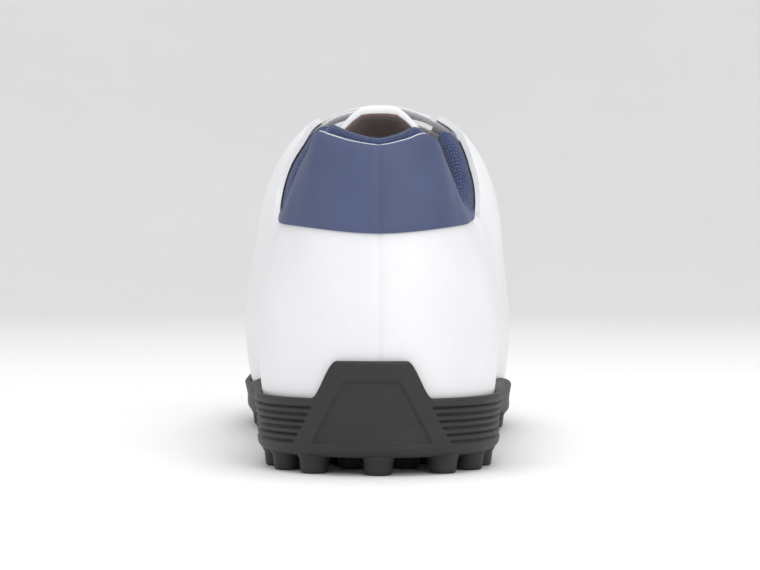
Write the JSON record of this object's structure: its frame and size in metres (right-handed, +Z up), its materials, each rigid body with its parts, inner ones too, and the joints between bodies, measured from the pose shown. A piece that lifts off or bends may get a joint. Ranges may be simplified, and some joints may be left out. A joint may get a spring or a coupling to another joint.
{
  "type": "football shoe",
  "caption": "Low-cut right football shoe for artificial turf, with a smooth upper, padded collar, tongue, laces and a rubber sole with short round studs.",
  "frame": {"origin": "on the ground under the middle of the shoe's footprint", "axes": "+Y from heel to toe, +X towards the lateral side of the right foot, +Z up"},
  "size_m": [0.0968, 0.2914, 0.1119],
  "materials": {
    "sole_rubber": "matt black moulded rubber",
    "upper_synthetic": "smooth white coated synthetic leather",
    "panel_synthetic": "matt blue fine-grained synthetic",
    "lining_knit": "dark blue knitted lining over foam",
    "tongue_fabric": "white face with a warm grey textile back",
    "insole_foam": "grey textile over foam",
    "lace_braid": "flat white braid"
  },
  "bodies": {
    "root": {"outsole": "sole_rubber", "upper": "upper_synthetic", "heel_panel": "panel_synthetic", "collar_lining": "lining_knit", "tongue": "tongue_fabric", "insole": "insole_foam", "laces": "lace_braid"}
  },
  "joints": []
}
